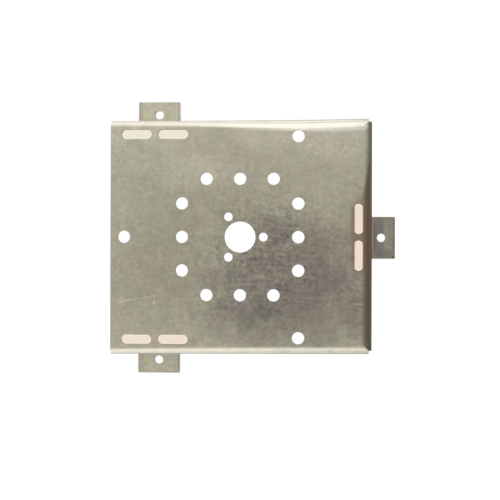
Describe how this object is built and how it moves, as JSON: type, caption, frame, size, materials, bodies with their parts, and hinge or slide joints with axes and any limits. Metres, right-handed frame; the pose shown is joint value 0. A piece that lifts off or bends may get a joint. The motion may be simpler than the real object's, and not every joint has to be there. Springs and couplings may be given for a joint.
{
  "type": "mounting bracket",
  "caption": "Folded sheet-metal mounting bracket: a drilled plate with a large centre hole and round-ended slots, walls on its sides and one end, and feet turned outward.",
  "frame": {"origin": "centre of the large hole, at the plate's outer face", "axes": "+Z along the centre hole's axis, out of the plate and away from the feet; +X towards the end wall; the side walls lie at -Y and +Y, and the open edge at -X"},
  "size_m": [0.1486, 0.1448, 0.02],
  "materials": {
    "zinc_coated_steel": "dull mottled zinc coat with handling marks and stains"
  },
  "bodies": {
    "root": {"bracket": "zinc_coated_steel"}
  },
  "joints": []
}
